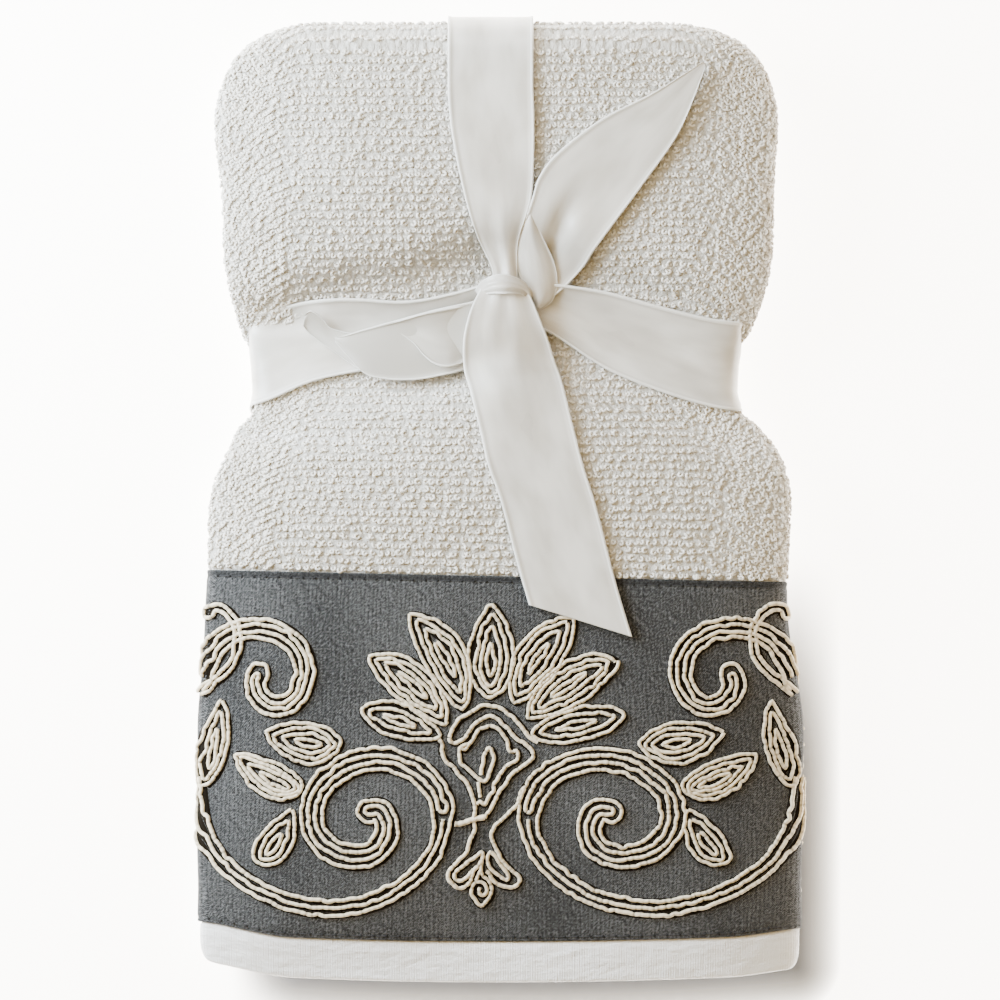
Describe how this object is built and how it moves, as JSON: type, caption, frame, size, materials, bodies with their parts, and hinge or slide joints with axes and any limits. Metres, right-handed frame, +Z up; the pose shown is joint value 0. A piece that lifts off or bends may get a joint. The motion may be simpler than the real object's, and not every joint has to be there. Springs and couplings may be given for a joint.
{
  "type": "folded hand towel with ribbon tie",
  "caption": "Terry hand towel folded in thirds both ways, drawn in at the waist by a tied satin ribbon, with a grey cloth band sewn above its hem.",
  "frame": {"origin": "centre of the box that holds the whole part, on the surface that the towel lies on", "axes": "+X across the towel, +Y from the hem that shows towards the folded top, +Z up out of the face with the band"},
  "size_m": [0.1512, 0.2416, 0.0284],
  "materials": {
    "terry": "white cotton terry with short loops, plain woven at its end",
    "band_cloth": "slate grey plain-woven cotton with slubs",
    "satin": "white satin ribbon with woven edges"
  },
  "bodies": {
    "root": {"terry_cloth": "terry", "grey_band": "band_cloth", "ribbon_tie": "satin"}
  },
  "joints": []
}
